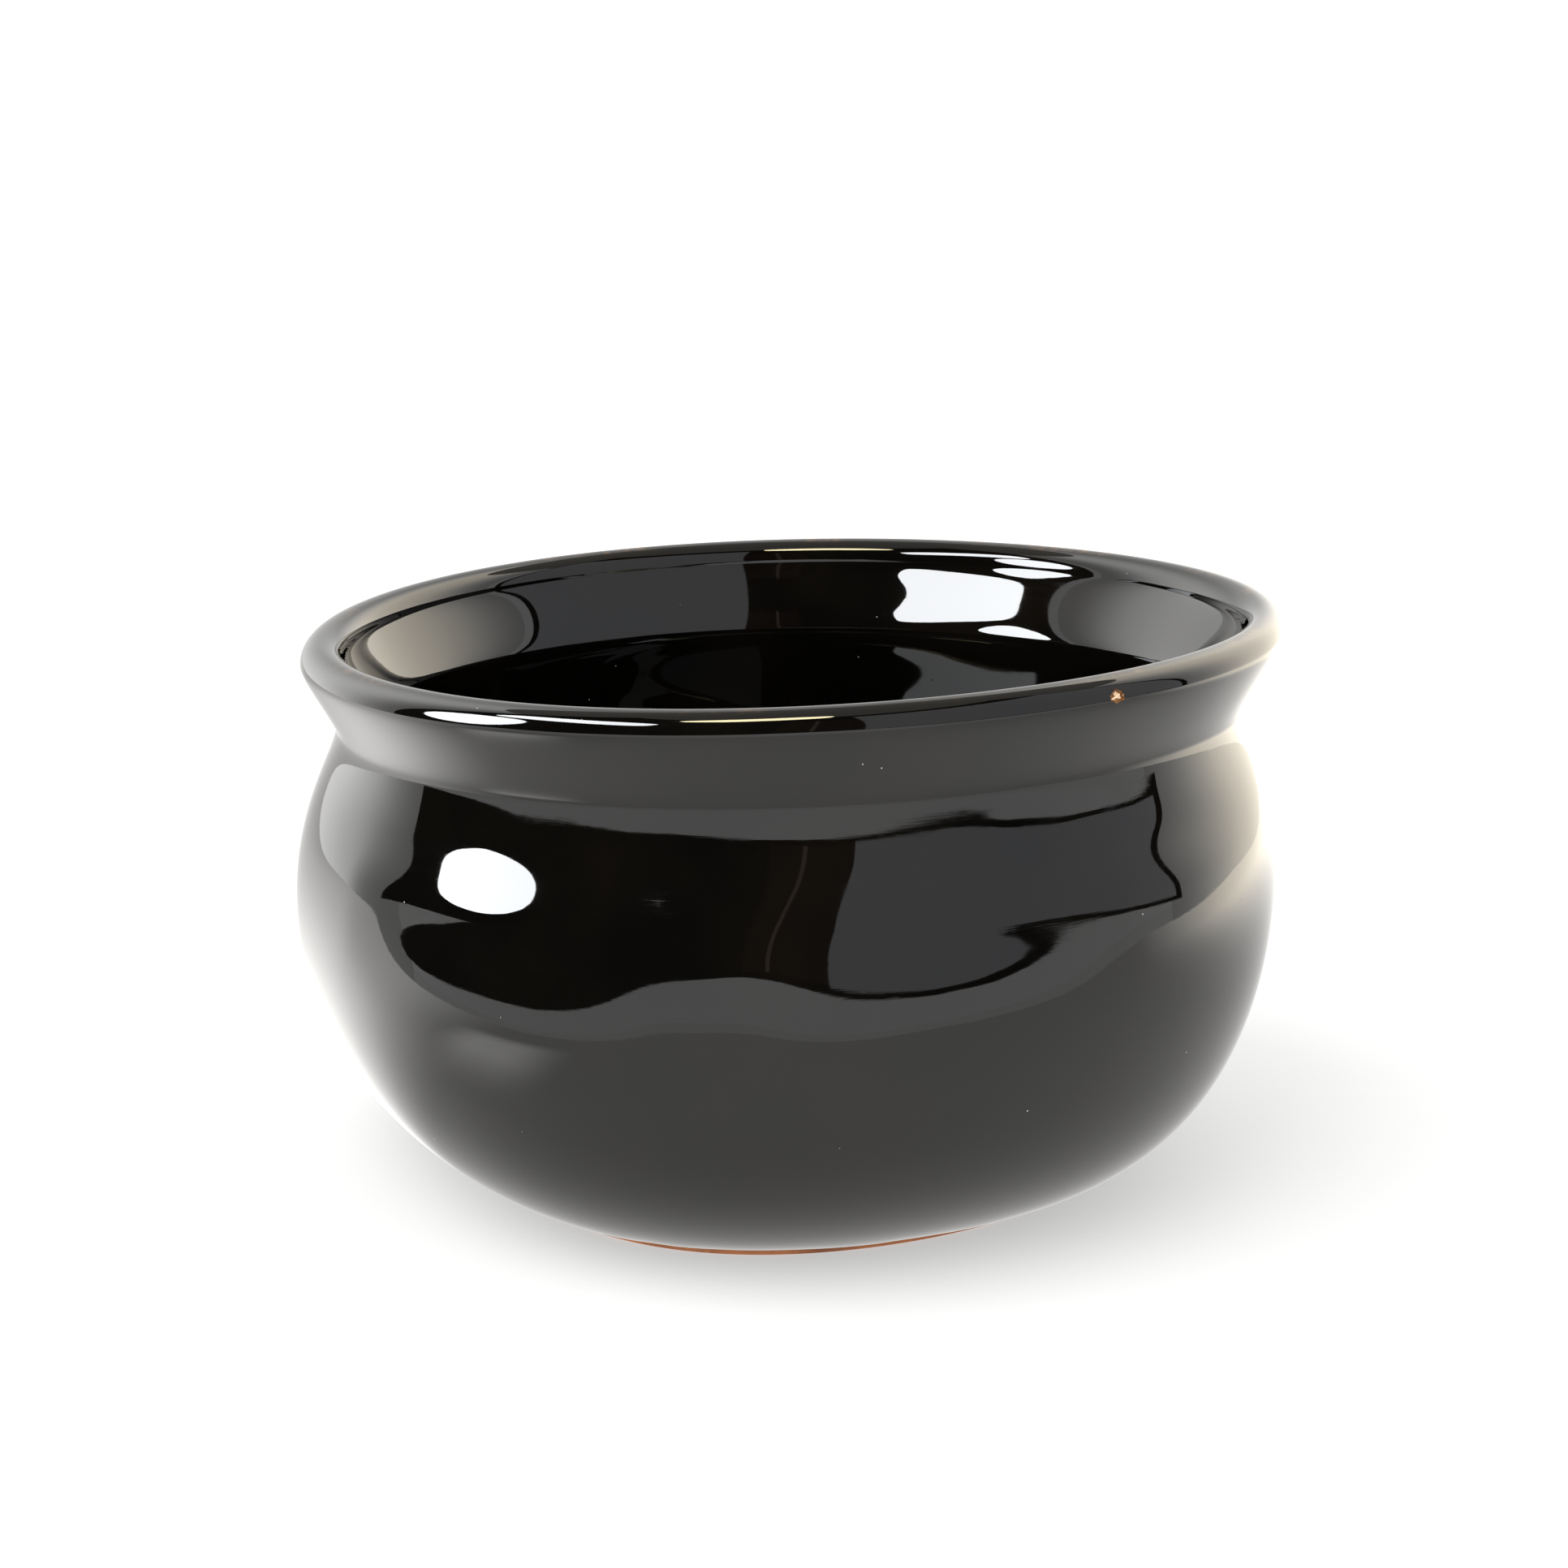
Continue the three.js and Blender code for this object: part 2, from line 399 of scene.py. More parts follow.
lower_wall = stretch(foot, leave_foot, (0, BELLY_SWEEP_DOWN), belly)
upper_wall = stretch(belly, (0, BELLY_SWEEP_UP), (0, NECK_SWEEP_DOWN), neck)
flare = stretch(neck, (0, NECK_SWEEP_UP), (0, LIP_SWEEP), lip)
throat = stretch(inside_lip, (0, -LIP_SWEEP), (0, -NECK_SWEEP_UP), inside_neck)
shoulder = stretch(inside_neck, (0, -NECK_SWEEP_DOWN), (0, -BELLY_SWEEP_UP), inside_belly)
basin = stretch(inside_belly, (0, -BELLY_SWEEP_DOWN), (-FLOOR_SWEEP, 0), floor_edge)
pan = stretch(floor_edge, (-FLOOR_RADIUS / 3, 0), (-FLOOR_RADIUS / 3, 0), (0, FLOOR_THICKNESS))

# %% Fineness, and where the two coats meet
LOWER_STEPS = 48
UPPER_STEPS = 36
FLARE_STEPS = 20
CREST_STEPS = 30
PAN_STEPS = 16
HIDDEN = 3
SEAM_STEP = 0.004


def shares(steps, start=0.0, end=1.0):
    """Steps along a stretch, as shares of its length, without the first."""
    return [start + (end - start) * (step + 1) / steps for step in range(steps)]


def share_at(curve, height):
    """The share of a falling curve at which it passes a height."""
    low, high = 0.0, 1.0
    for _ in range(40):
        middle = (low + high) / 2
        low, high = (middle, high) if curve(middle).y > height else (low, middle)
    return low


def line(curve, depth, steps, start=0.0, end=1.0):
    return [beside(curve, share, depth) for share in shares(steps, start, end)]


def over_the_lip(depth, skip=1):
    """Up the outside from the foot and over the crest."""
    rising = line(lower_wall, depth, LOWER_STEPS // skip) + line(upper_wall, depth, UPPER_STEPS // skip)
    return rising + line(flare, depth, FLARE_STEPS // skip) + line(crest, depth, CREST_STEPS // skip)


def into_the_floor(depth, skip=1):
    """Down the inside from the neck to the axis."""
    falling = line(shoulder, depth, UPPER_STEPS // skip) + line(basin, depth, LOWER_STEPS // skip)
    return falling + line(pan, depth, PAN_STEPS // skip)


lap = share_at(throat, CREST_HEIGHT - LAP_DEPTH)
print("the coats meet at", round(lap, 3), "of the way down the throat")

# %% [markdown]
# ## Throwing and pressing
#
# A wheel turns the outline into a round wall, and the potter's hands then push the wall a little out
# of round. Both follow a rule, so one Geometry Nodes tree does both: it bends a grid round the axis
# along an outline, and moves each point by the same pushes, lean and wave of the rim that the plain
# model has. What only a fine surface can show is added: a shallow hollow under the neck and two soft
# dents in front, a ripple left by the fingers, and a glaze line that wanders at the foot. They all go
# inwards, so the pot never grows. Because all three parts go through one tree, they still fit.

# %% Building and running a tree
def new_tree(name, inputs):
    """An empty tree with named inputs, and those inputs as fields."""
    tree = bpy.data.node_groups.new(name, "GeometryNodeTree")
    tree.is_modifier = True
    tree.interface.new_socket("Geometry", in_out="INPUT", socket_type="NodeSocketGeometry")
    tree.interface.new_socket("Geometry", in_out="OUTPUT", socket_type="NodeSocketGeometry")
    for title, kind in inputs.items():
        tree.interface.new_socket(title, in_out="INPUT", socket_type="NodeSocket" + kind)
    given = tree.nodes.new("NodeGroupInput")
    return tree, {socket.name: Field(socket) for socket in given.outputs if socket.name}


def end_tree(tree, geometry, material):
    """Ends a tree in real geometry with its material."""
    real = add(tree, "GeometryNodeRealizeInstances", {"Geometry": geometry})
    dressed = add(tree, "GeometryNodeSetMaterial", {"Geometry": real.outputs[0], "Material": material})
    out = tree.nodes.new("NodeGroupOutput")
    feed(out.inputs["Geometry"], dressed.outputs[0])


def settle(piece):
    """Turns what the piece's modifiers make into its own plain mesh."""
    graph = bpy.context.evaluated_depsgraph_get()
    made = bpy.data.meshes.new_from_object(
        piece.evaluated_get(graph), preserve_all_data_layers=True, depsgraph=graph
    )
    while None in made.materials[:]:
        made.materials.pop(index=made.materials[:].index(None))
    piece.modifiers.clear()
    piece.data = made
    return piece


def run_tree(tree, name, mesh, values):
    """Runs a tree on a mesh and keeps the result as a plain piece."""
    piece = bpy.data.objects.new(name, mesh)
    modifier = piece.modifiers.new(tree.name, "NODES")
    modifier.node_group = tree
    for item in tree.interface.items_tree:
        if item.name in values:
            modifier[item.identifier] = values[item.name]
    bpy.context.scene.collection.objects.link(piece)
    return settle(piece)


# %% The tree's inputs
PRESS_VALUES = {
    "Foot Radius": FOOT_RADIUS,
    "Neck Height": NECK_HEIGHT,
    "Crest Height": CREST_HEIGHT,
    "Lip Radius": LIP_RADIUS,
    "Glaze Line": GLAZE_LINE,
    "Full Press Height": FULL_PRESS_HEIGHT,
    "Two Sided Push": TWO_SIDED_PUSH,
    "Two Sided Turn": TWO_SIDED_TURN,
    "Three Sided Push": THREE_SIDED_PUSH,
    "Three Sided Turn": THREE_SIDED_TURN,
    "Four Sided Push": FOUR_SIDED_PUSH,
    "Four Sided Turn": FOUR_SIDED_TURN,
    "Lean Side": LEAN_SIDE,
    "Lean Back": LEAN_BACK,
    "Rim Rise": RIM_RISE,
    "Rim Wave": RIM_WAVE,
    "Rim Wave Turn": RIM_WAVE_TURN,
    "Hollow Depth": 1.25 * MM,
    "Hollow Height": 61.2 * MM,
    "Hollow Reach": 8.3 * MM,
    "Dent Height": 50.5 * MM,
    "Dent Reach": 14.2 * MM,
    "Dent Spread": math.radians(23.7),
    "Left Dent": 1.39 * MM,
    "Left Dent Turn": math.radians(-125.1),
    "Right Dent": 1.0 * MM,
    "Right Dent Turn": math.radians(-72.2),
    "Firing Shrink": 0.17 * MM,
    "Ripple Depth": 0.12 * MM,
    "Ripple Size": 17 * MM,
    "Glaze Wander": 0.3 * MM,
    "Glaze Size": 11 * MM,
    "Wire Depth": 0.15 * MM,
    "Wire Gap": 4 * MM,
    "Seed": 4.0,
}

wheel_inputs = {"Turns": "Int", "Outline Points": "Int", "Finish": "Material"}
wheel_inputs.update({title: "Float" for title in PRESS_VALUES})
wheel, given = new_tree("throw_and_press", wheel_inputs)


# %% The grid that becomes the wall
here = add(wheel, "GeometryNodeInputPosition").outputs["Position"]
grid = add(wheel, "GeometryNodeMeshGrid", {"Size X": 1.0, "Size Y": 1.0})
feed(grid.inputs["Vertices X"], given["Turns"] + 1)
feed(grid.inputs["Vertices Y"], given["Outline Points"])
split = add(wheel, "ShaderNodeSeparateXYZ", {"Vector": here})
angle = (Field(split.outputs["X"]) + 0.5) * (2 * math.pi)
step = ((Field(split.outputs["Y"]) + 0.5) * (given["Outline Points"] - 1)).math("ROUND")
sampled = add(wheel, "GeometryNodeSampleIndex", data_type="FLOAT_VECTOR", domain="POINT")
feed(sampled.inputs["Geometry"], given["Geometry"])
feed(sampled.inputs["Value"], here)
feed(sampled.inputs["Index"], step)
outline = add(wheel, "ShaderNodeSeparateXYZ", {"Vector": sampled.outputs["Value"]})
radius = Field(outline.outputs["X"])
height = Field(outline.outputs["Z"])


# %% The pushes, the lean and the wave of the rim
def sided(sides, name):
    """A push with a number of sides, at its depth and turn."""
    return given[name + " Push"] * ((angle - given[name + " Turn"]) * sides).cos()


pressing = (given["Neck Height"] - height).between(0, given["Neck Height"] - given["Full Press Height"])
pushes = sided(2, "Two Sided") + sided(3, "Three Sided") + sided(4, "Four Sided")
near_axis = ((radius / given["Foot Radius"]).math("MINIMUM", 1) * (math.pi / 2)).sin()
share = height / given["Crest Height"]
wave = given["Rim Wave"] * ((angle - given["Rim Wave Turn"]) * 2).cos()
rise = given["Rim Rise"] * angle.cos() + wave

# %% Noise that the shape follows
def combined(tree, x, y, z):
    return add(tree, "ShaderNodeCombineXYZ", {"X": x, "Y": y, "Z": z}).outputs["Vector"]


def cloudy(tree, place, size, seed):
    """Noise between 0 and 1 with clouds of a size and a fixed seed."""
    node = add(tree, "ShaderNodeTexNoise", noise_dimensions="4D")
    scale = size.math("POWER", -1)
    for name, value in (("Vector", place), ("W", seed), ("Scale", scale), ("Detail", 1.0)):
        feed(node.inputs[name], value)
    return Field(node.outputs[0])


# %% The finger ripple, the hollow under the neck and the two dents
RIPPLE_BEGINS = 9 * MM
FRONT_BEGINS, FRONT_FULL = 0.1, 0.75


def bell(name):
    """1 at the height of a hollow or dent, falling smoothly to 0 over its reach."""
    away = (height - given[name + " Height"]).math("ABSOLUTE") / given[name + " Reach"]
    return 1 - away.between(0, 1)


def thumbed(name):
    """One dent at its turn, fading out round the pot over the dents' spread."""
    toward = (angle - given[name + " Turn"]).cos()
    return given[name] * toward.between(given["Dent Spread"].cos(), 1)


on_wheel = combined(wheel, radius * angle.cos(), radius * angle.sin(), height)
ripple = cloudy(wheel, on_wheel, given["Ripple Size"], given["Seed"]) * given["Ripple Depth"]
ripple = (ripple + given["Firing Shrink"]) * height.between(0, RIPPLE_BEGINS)
in_front = (angle.sin() * -1).between(FRONT_BEGINS, FRONT_FULL)
hollow = given["Hollow Depth"] * bell("Hollow") * in_front
dents = bell("Dent") * (thumbed("Left Dent") + thumbed("Right Dent"))

# %% The glaze line that wanders, and the wire marks on the underside
WANDER_FADES, WANDER_ENDS = 2 * MM, 6 * MM
WIRE_CENTRE = (30 * MM, -85 * MM)
WIRE_FADES, WIRE_ENDS = 36 * MM, 44 * MM
UNDERSIDE = -0.02 * MM

round_foot = combined(wheel, angle.cos() * FOOT_RADIUS, angle.sin() * FOOT_RADIUS, 0.0)
wander = cloudy(wheel, round_foot, given["Glaze Size"], given["Seed"]) - 0.5
near_line = height.between(0, given["Glaze Line"]) * (1 - height.between(WANDER_FADES, WANDER_ENDS))
wander = wander * near_line * given["Glaze Wander"] * 2

wire_x = radius * angle.cos() - WIRE_CENTRE[0]
wire_y = radius * angle.sin() - WIRE_CENTRE[1]
wire_way = (wire_x * wire_x + wire_y * wire_y).math("SQRT")
underneath = (height * -1).between(UNDERSIDE, 0) * (1 - radius.between(WIRE_FADES, WIRE_ENDS))
wire = ((wire_way / given["Wire Gap"] * (2 * math.pi)).cos() * 0.5 + 0.5) * given["Wire Depth"]

# %% The pressed wall, closed and dressed
TOP_EASE = 0.004 * MM
WELD = 0.001 * MM
CREASE = math.radians(38)

pressed = radius + near_axis * (pressing * pushes - ripple - hollow - dents)
pressed_height = height + rise * share * radius / given["Lip Radius"] + wander + underneath * wire
pressed_height = pressed_height - share * TOP_EASE
place = combined(
    wheel,
    pressed * angle.cos() + given["Lean Side"] * share,
    pressed * angle.sin() + given["Lean Back"] * share,
    pressed_height,
)
kept = add(wheel, "GeometryNodeStoreNamedAttribute", data_type="FLOAT_VECTOR", domain="POINT")
feed(kept.inputs["Geometry"], grid.outputs["Mesh"])
feed(kept.inputs["Name"], ON_THE_WHEEL)
feed(kept.inputs["Value"], on_wheel)
skin = add(wheel, "GeometryNodeStoreNamedAttribute", data_type="FLOAT", domain="POINT")
feed(skin.inputs["Geometry"], kept.outputs["Geometry"])
feed(skin.inputs["Name"], ON_THE_SKIN)
feed(skin.inputs["Value"], outline.outputs["Y"])
pot_wall = add(wheel, "GeometryNodeSetPosition", {"Geometry": skin.outputs["Geometry"], "Position": place})
joined = add(wheel, "GeometryNodeMergeByDistance", {"Geometry": pot_wall.outputs["Geometry"]})
joined.inputs["Distance"].default_value = WELD
smooth = add(wheel, "GeometryNodeSetShadeSmooth", {"Geometry": joined.outputs[0]}, domain="FACE")
edge = add(wheel, "GeometryNodeInputMeshEdgeAngle").outputs["Unsigned Angle"]
creased = add(wheel, "GeometryNodeSetShadeSmooth", {"Geometry": smooth.outputs[0]}, domain="EDGE")
feed(creased.inputs["Selection"], Field(edge).math("GREATER_THAN", CREASE))
feed(creased.inputs["Shade Smooth"], False)
end_tree(wheel, creased.outputs[0], given["Finish"])
print("the wheel has", len(wheel.nodes), "nodes")

# %% [markdown]
# ## The three parts
#
# Each part is a closed outline. The clay starts and ends on the axis. The outside coat starts in a
# rolled bead at the foot, goes over the lip to the lap and comes back under itself. The inside coat
# goes on from the lap to the middle of the floor. Hidden faces get fewer steps. Where the coats meet,
# a step close to the seam on each side keeps the two surfaces running into each other unbroken.

# %% Turning an outline into a part
TURNS = 288


def part(name, skin_points, hidden_points, skin_first, material):
    """Throws a closed outline; its skin points come first or last, and are marked by their Y."""
    marked = [(point.x, 1.0, point.y) for point in skin_points]
    unseen = [(point.x, 0.0, point.y) for point in hidden_points]
    points = marked + unseen if skin_first else unseen + marked
    outline_mesh = bpy.data.meshes.new(name + "_outline")
    edges = [(index, index + 1) for index in range(len(points) - 1)]
    outline_mesh.from_pydata(points, edges, [])
    values = dict(PRESS_VALUES, Finish=material, Turns=TURNS)
    values["Outline Points"] = len(points)
    made = run_tree(wheel, name, outline_mesh, values)
    made.data.calc_loop_triangles()
    volume = sum(
        made.data.vertices[a].co.dot(made.data.vertices[b].co.cross(made.data.vertices[c].co)) / 6
        for a, b, c in (triangle.vertices for triangle in made.data.loop_triangles)
    )
    print(name, len(made.data.loop_triangles), "triangles,", round(volume * 1e6, 2), "ml")
    return made


# %% The clay
FOOT_ROUND = 0.45 * MM
FOOT_ROUND_STEPS = 5
UNDER_STEPS = 96

foot_edge = FOOT_RADIUS - COAT
under = [Vector((foot_edge - FOOT_ROUND, 0)) * share for share in [0.0] + shares(UNDER_STEPS)]
foot_turn = [math.pi / 2 * share for share in shares(FOOT_ROUND_STEPS)]
foot_middle = Vector((foot_edge - FOOT_ROUND, FOOT_ROUND))
rounded = [foot_middle + FOOT_ROUND * Vector((math.sin(turn), -math.cos(turn))) for turn in foot_turn]
glaze_corner = Vector((foot_edge, GLAZE_LINE))

clay_skin = under + rounded + [glaze_corner]
clay_rest = [beside(lower_wall, 0, COAT)] + over_the_lip(COAT, HIDDEN)
clay_rest += line(throat, COAT, FLARE_STEPS // HIDDEN) + into_the_floor(COAT, HIDDEN)
clay = part("thrown_clay_body", clay_skin, clay_rest, True, bare_clay)

# %% The outside coat
BEAD_END = 0.03
BEAD_STEPS = 7
BEAD_SWEEP = 0.6 * MM

bead_leave = Vector((0.35, -0.16)) * MM
bead_arrive = BEAD_SWEEP * Vector((math.cos(FOOT_SLOPE), math.sin(FOOT_SLOPE)))
bead = stretch(glaze_corner, bead_leave, bead_arrive, lower_wall(BEAD_END))

outer_skin = [glaze_corner] + [bead(share) for share in shares(BEAD_STEPS)]
outer_skin += line(lower_wall, 0, LOWER_STEPS, BEAD_END) + line(upper_wall, 0, UPPER_STEPS)
outer_skin += line(flare, 0, FLARE_STEPS) + line(crest, 0, CREST_STEPS)
outer_skin += line(throat, 0, FLARE_STEPS // 2, 0, lap - SEAM_STEP) + [throat(lap)]
outer_rest = [beside(lower_wall, 0, COAT)] + over_the_lip(COAT, HIDDEN)
outer_rest += line(throat, COAT, FLARE_STEPS // HIDDEN, 0, lap)
outer_rest = outer_rest[::-1] + [glaze_corner]
outside_coat = part("dipped_glaze_outside", outer_skin, outer_rest, True, outer_glaze)

# %% The inside coat
HIDDEN_THROAT_STEPS = 4

inner_skin = [throat(lap), throat(lap + SEAM_STEP)]
inner_skin += line(throat, 0, FLARE_STEPS // 2, lap + SEAM_STEP) + into_the_floor(0)
inner_rest = [beside(throat, lap, COAT)] + line(throat, COAT, HIDDEN_THROAT_STEPS, lap)
inner_rest += into_the_floor(COAT, HIDDEN)
inside_coat = part("poured_glaze_inside", inner_skin, inner_rest[::-1], False, inner_glaze)

# %% [markdown]
# ## The chip in the lip
#
# A knock has lifted a small flake off the bulge of the lip, through the glaze into the clay. The same
# rough pebble is cut out of both parts. The cut faces take the pebble's material, so the glaze shows
# an amber broken edge and the clay under it a pale fresh break.

# %% A rough pebble where the knock was
def pressed_place(radius, height, angle):
    """Where a point of the wheel stands on the pressed pot, above the pushes."""
    share = height / CREST_HEIGHT
    wave = RIM_WAVE * math.cos(2 * (angle - RIM_WAVE_TURN))
    rise = RIM_RISE * math.cos(angle) + wave
    x = radius * math.cos(angle) + LEAN_SIDE * share
    y = radius * math.sin(angle) + LEAN_BACK * share
    return Vector((x, y, height + rise * share * radius / LIP_RADIUS))


chip_place = pressed_place(LIP_RADIUS, CREST_HEIGHT - CHIP_BELOW_CREST, CHIP_TURN)
bpy.ops.mesh.primitive_ico_sphere_add(subdivisions=3, radius=CHIP_RADIUS)
pebble = bpy.context.object
for vertex in pebble.data.vertices:
    x, y, z = vertex.co / CHIP_RADIUS
    roughness = 0.12 * math.sin(5 * x + 3 * z) + 0.08 * math.sin(9 * y - 7 * x) + 0.06 * math.cos(13 * z)
    vertex.co = vertex.co * (1 + roughness)
    vertex.co = Vector(a * b for a, b in zip(vertex.co, CHIP_SHAPE))
pebble.data.transform(Matrix.Rotation(CHIP_TURN + math.pi / 2, 4, "Z"))
pebble.data.transform(Matrix.Translation(chip_place))
pebble.data.shade_flat()


# %% Knocking it out of the glaze and the clay
def knock_out(piece, material):
    """Cuts the pebble out of a piece; the broken faces get the material."""
    pebble.data.materials.clear()
    pebble.data.materials.append(material)
    cut = piece.modifiers.new("knock", "BOOLEAN")
    cut.operation = "DIFFERENCE"
    cut.solver = "EXACT"
    cut.object = pebble
    cut.material_mode = "TRANSFER"
    settle(piece)
    print(piece.name, "has the finishes", [slot.name for slot in piece.data.materials])


knock_out(outside_coat, broken_glaze)
knock_out(clay, broken_clay)
bpy.data.objects.remove(pebble)

# %% [markdown]
# ## Dust and lint
#
# A glossy black pot shows every speck. A second tree scatters grains of dust and a few short fibres
# over the skin of the glaze, each lying flat on it. The shapes are tiny and plain, the places random
# but fixed by a seed, and everything ends in real geometry.

# %% A tree that scatters a shape over the skin
SMALLEST_SHARE = 0.35
SURELY_SKIN = 0.99
CRUMB_SHAPE = (1, 0.75, 0.35)
LINT_END_LIFT = 0.00003
LINT_BOW_LIFT = 0.0001
LINT_BOW = 0.35
LINT_THICKNESS = 0.02


def scatter_tree(name, shape):
    """Scatters small shapes over the glazed skin; shape builds one from the tree and its inputs."""
    inputs = {"Count Per Area": "Float", "Size": "Float", "Seed": "Int", "Finish": "Material"}
    tree, given = new_tree(name, inputs)
    skin = add(tree, "GeometryNodeInputNamedAttribute", {"Name": ON_THE_SKIN}, data_type="FLOAT")
    spots = add(tree, "GeometryNodeDistributePointsOnFaces", {"Mesh": given["Geometry"]})
    feed(spots.inputs["Selection"], Field(skin.outputs["Attribute"]).math("GREATER_THAN", SURELY_SKIN))
    feed(spots.inputs["Density"], given["Count Per Area"])
    feed(spots.inputs["Seed"], given["Seed"])
    size = add(tree, "FunctionNodeRandomValue", data_type="FLOAT")
    feed(size.inputs[2], SMALLEST_SHARE)
    feed(size.inputs[3], 1.0)
    feed(size.inputs["Seed"], given["Seed"])
    spin = add(tree, "FunctionNodeRandomValue", data_type="FLOAT")
    feed(spin.inputs[3], 2 * math.pi)
    feed(spin.inputs["Seed"], given["Seed"] + 1)
    turned = add(tree, "FunctionNodeRotateRotation", rotation_space="LOCAL")
    feed(turned.inputs["Rotation"], spots.outputs["Rotation"])
    feed(turned.inputs["Rotate By"], combined(tree, 0.0, 0.0, Field(spin.outputs[1])))
    laid = add(tree, "GeometryNodeInstanceOnPoints", {"Points": spots.outputs["Points"]})
    feed(laid.inputs["Instance"], shape(tree, given["Size"]))
    feed(laid.inputs["Rotation"], turned.outputs["Rotation"])
    feed(laid.inputs["Scale"], size.outputs[1])
    end_tree(tree, laid.outputs["Instances"], given["Finish"])
    return tree


def dust_grain(tree, size):
    """A flat crumb of 20 faces."""
    ball = add(tree, "GeometryNodeMeshIcoSphere", {"Radius": size, "Subdivisions": 1})
    flat = add(tree, "GeometryNodeTransform", {"Geometry": ball.outputs["Mesh"]})
    flat.inputs["Scale"].default_value = CRUMB_SHAPE
    return flat.outputs["Geometry"]


def fibre(tree, size):
    """A short bent hair with five sides."""
    bow = add(tree, "GeometryNodeCurveQuadraticBezier", {"Resolution": 6})
    feed(bow.inputs["Start"], combined(tree, size * -0.5, 0.0, LINT_END_LIFT))
    feed(bow.inputs["Middle"], combined(tree, 0.0, size * LINT_BOW, LINT_BOW_LIFT))
    feed(bow.inputs["End"], combined(tree, size * 0.5, 0.0, LINT_END_LIFT))
    thin = {"Resolution": 5, "Radius": size * LINT_THICKNESS}
    section = add(tree, "GeometryNodeCurvePrimitiveCircle", thin)
    hair = add(tree, "GeometryNodeCurveToMesh", {"Curve": bow.outputs["Curve"]})
    feed(hair.inputs["Profile Curve"], section.outputs["Curve"])
    feed(hair.inputs["Fill Caps"], True)
    return hair.outputs["Mesh"]


# %% The finish of dust
DUST_BROWN = (0.30, 0.26, 0.22, 1)
DUST_GREY = (0.55, 0.53, 0.50, 1)
DUST_TONE_SIZE = 14 * MM

dust, dust_nodes, dust_shader = finish("dust", roughness=0.9, ior=1.4)
dust_place = add(dust_nodes, "ShaderNodeTexCoord").outputs["Object"]
dust_tone = grain(dust_nodes, dust_place, DUST_TONE_SIZE, 1).between(0.35, 0.65)
feed(dust_shader.inputs["Base Color"], blend(dust_nodes, dust_tone, DUST_BROWN, DUST_GREY))


# %% Scattering both over the two coats
def scatter(tree, name, on, values):
    """Scatters over a copy of a coat and keeps only what was scattered."""
    made = run_tree(tree, name, on.data.copy(), dict(values, Finish=dust))
    print(name, len(made.data.vertices), "points")
    return made


crumbs = scatter_tree("scatter_dust", dust_grain)
hairs = scatter_tree("scatter_lint", fibre)
dusting = [
    scatter(crumbs, "dust_outside", outside_coat, {"Count Per Area": 1100.0, "Size": 0.16 * MM, "Seed": 3}),
    scatter(crumbs, "dust_inside", inside_coat, {"Count Per Area": 1500.0, "Size": 0.15 * MM, "Seed": 8}),
    scatter(hairs, "lint_outside", outside_coat, {"Count Per Area": 160.0, "Size": 2.2 * MM, "Seed": 5}),
    scatter(hairs, "lint_inside", inside_coat, {"Count Per Area": 160.0, "Size": 2.0 * MM, "Seed": 6}),
]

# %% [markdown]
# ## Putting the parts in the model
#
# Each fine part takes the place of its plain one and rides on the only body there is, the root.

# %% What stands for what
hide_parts("clay_body")
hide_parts("glaze_outside")
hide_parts("glaze_inside")
for piece in (clay, outside_coat, inside_coat, *dusting):
    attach(piece, "root")

# %% [markdown]
# ## The studio
#
# The pot stands on a plain white sheet. Soft light from all sides and a wide light from the left make
# the floor and everything behind it nearly white, with a faint shadow on the right. From below, the
# sheet lets the eye through, so that the foot can be seen.

# %% Floor and soft light
FLOOR_TONE = (0.43, 0.428, 0.422, 1)
FLOOR_GLOW = 0.46
SKY_STRENGTH = 1.35


def sheet(name, points, faces, material):
    """A card or a floor, which isn't part of the pot."""
    mesh = bpy.data.meshes.new(name)
    mesh.from_pydata(points, [], faces)
    mesh.materials.append(material)
    made = bpy.data.objects.new(name, mesh)
    bpy.context.scene.collection.objects.link(made)
    made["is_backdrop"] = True
    return made


paper, paper_nodes, paper_shader = finish("white_sheet", roughness=1.0)
paper_shader.inputs["Specular IOR Level"].default_value = 0.0
paper_shader.inputs["Base Color"].default_value = FLOOR_TONE
paper_shader.inputs["Emission Color"].default_value = (1.0, 1.0, 0.995, 1)
paper_shader.inputs["Emission Strength"].default_value = FLOOR_GLOW
below = add(paper_nodes, "ShaderNodeNewGeometry").outputs["Backfacing"]
clear = add(paper_nodes, "ShaderNodeBsdfTransparent").outputs["BSDF"]
seen = paper_nodes.nodes.new("ShaderNodeMixShader")
for slot, value in zip(seen.inputs, (below, paper_shader.outputs["BSDF"], clear)):
    feed(slot, value)
sheet_out = next(node for node in paper_nodes.nodes if node.type == "OUTPUT_MATERIAL")
feed(sheet_out.inputs["Surface"], seen.outputs["Shader"])
FAR = 60.0
corners = [(-FAR, -FAR, 0), (FAR, -FAR, 0), (FAR, FAR, 0), (-FAR, FAR, 0)]
sheet("floor", corners, [(0, 1, 2, 3)], paper)

world = bpy.data.worlds.new("soft_light")
bpy.context.scene.world = world
world.use_nodes = True
sky = world.node_tree.nodes["Background"]
sky.inputs["Color"].default_value = (1.0, 1.0, 1.0, 1)
sky.inputs["Strength"].default_value = SKY_STRENGTH
bpy.context.scene.view_settings.view_transform = "Standard"
print("the floor is", 2 * FAR, "m wide")

# %% The side that the light comes from
KEY_FROM = (-58, 1.0, 0.78)
KEY_STRENGTH = 2.8
KEY_SPREAD = math.radians(75)


